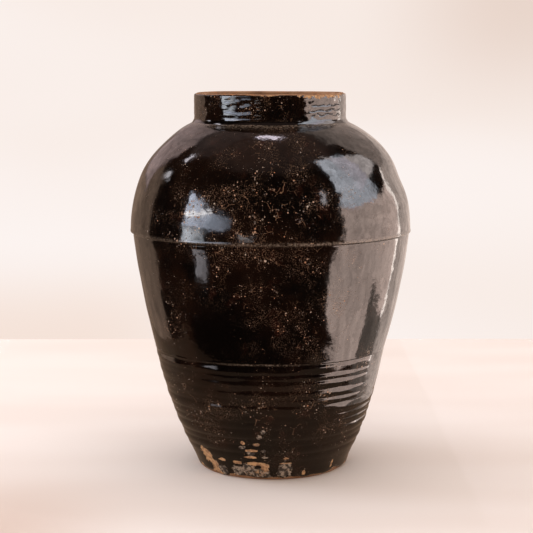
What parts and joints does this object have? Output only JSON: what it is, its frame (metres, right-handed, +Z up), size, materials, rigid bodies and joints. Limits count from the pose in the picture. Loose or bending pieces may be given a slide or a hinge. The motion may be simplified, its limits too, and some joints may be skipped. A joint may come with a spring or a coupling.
{
  "type": "glazed stoneware storage jar",
  "caption": "Round-shouldered stoneware storage jar with an upright collar, a seam at its widest part and throwing rings above a narrow flat foot, under dark gloss glaze.",
  "frame": {"origin": "centre of the flat foot, on the surface the jar stands on", "axes": "+Z up along the jar's axis; the jar is round, so +X and +Y point anywhere"},
  "size_m": [0.2982, 0.298, 0.4],
  "materials": {
    "fired_clay": "matte",
    "slip": "matte",
    "liner_glaze": "gloss",
    "dark_glaze": "gloss"
  },
  "bodies": {
    "root": {"base_slab": "fired_clay", "base_joint_slip": "slip", "base_corner_coil": "fired_clay", "lower_tier": "fired_clay", "lower_joint_slip": "slip", "middle_tier": "fired_clay", "shoulder_joint_slip": "slip", "shoulder_tier": "fired_clay", "neck_joint_slip": "slip", "neck_collar": "fired_clay", "inner_glaze": "liner_glaze", "outer_glaze": "dark_glaze"}
  },
  "joints": []
}
